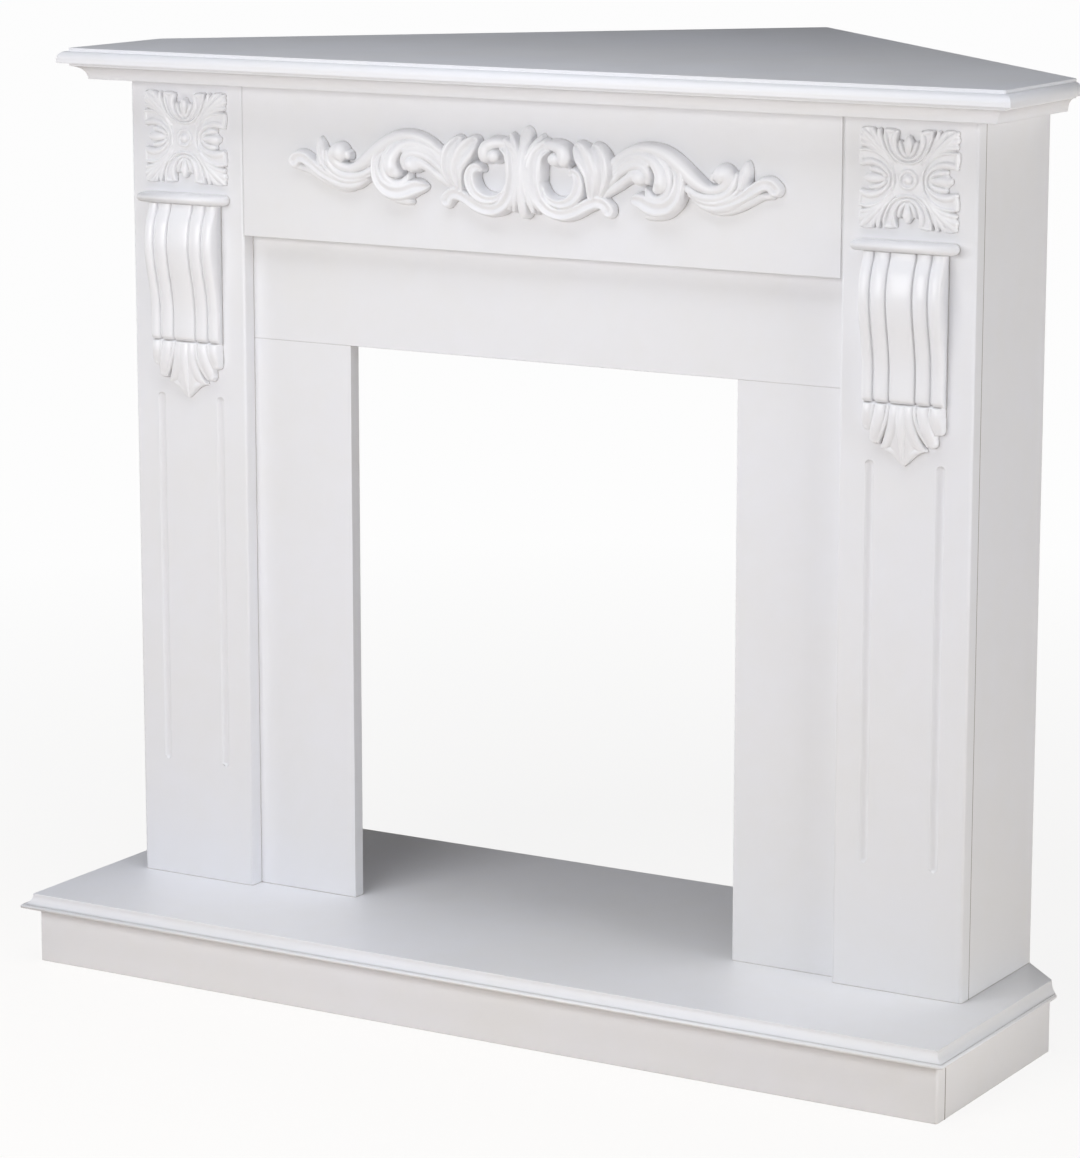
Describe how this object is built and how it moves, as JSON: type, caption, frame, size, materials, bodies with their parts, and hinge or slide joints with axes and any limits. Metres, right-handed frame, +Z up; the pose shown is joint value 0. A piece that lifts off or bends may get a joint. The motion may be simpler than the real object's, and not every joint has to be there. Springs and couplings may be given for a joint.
{
  "type": "corner fireplace surround",
  "caption": "White corner fireplace surround of painted boards: raised hearth slab on a plinth, fluted pilasters, carved frieze and a shelf pointed to fit a room corner, with an open firebox.",
  "frame": {"origin": "on the floor, under the middle of the outline seen from above", "axes": "+X along the front to the viewer's right, +Y from the front to the room corner, +Z up"},
  "size_m": [1.126, 0.834, 1],
  "materials": {
    "painted_board": "white satin paint on fibreboard",
    "painted_ornament": "white satin paint on a moulded ornament",
    "bare_wood": "bare softwood and beech",
    "zinc_steel": "zinc plated"
  },
  "bodies": {
    "root": {"plinth_front": "painted_board", "plinth_side_left": "painted_board", "plinth_side_right": "painted_board", "plinth_wall_rail_left": "painted_board", "plinth_wall_rail_right": "painted_board", "plinth_back_rail": "painted_board", "hearth_slab": "painted_board", "pilaster_left": "painted_board", "pilaster_right": "painted_board", "side_panel_left": "painted_board", "side_panel_right": "painted_board", "stile_left": "painted_board", "stile_right": "painted_board", "header": "painted_board", "frieze": "painted_board", "cornice_board": "painted_board", "shelf": "painted_board", "rosette_left": "painted_ornament", "rosette_right": "painted_ornament", "corbel_left": "painted_ornament", "corbel_right": "painted_ornament", "corbel_cap_left": "painted_ornament", "corbel_cap_right": "painted_ornament", "frieze_carving": "painted_ornament", "plinth_mid_rail": "bare_wood", "plinth_glue_blocks": "bare_wood", "corner_batten_left": "bare_wood", "corner_batten_right": "bare_wood", "dowels": "bare_wood", "screws": "zinc_steel"}
  },
  "joints": []
}
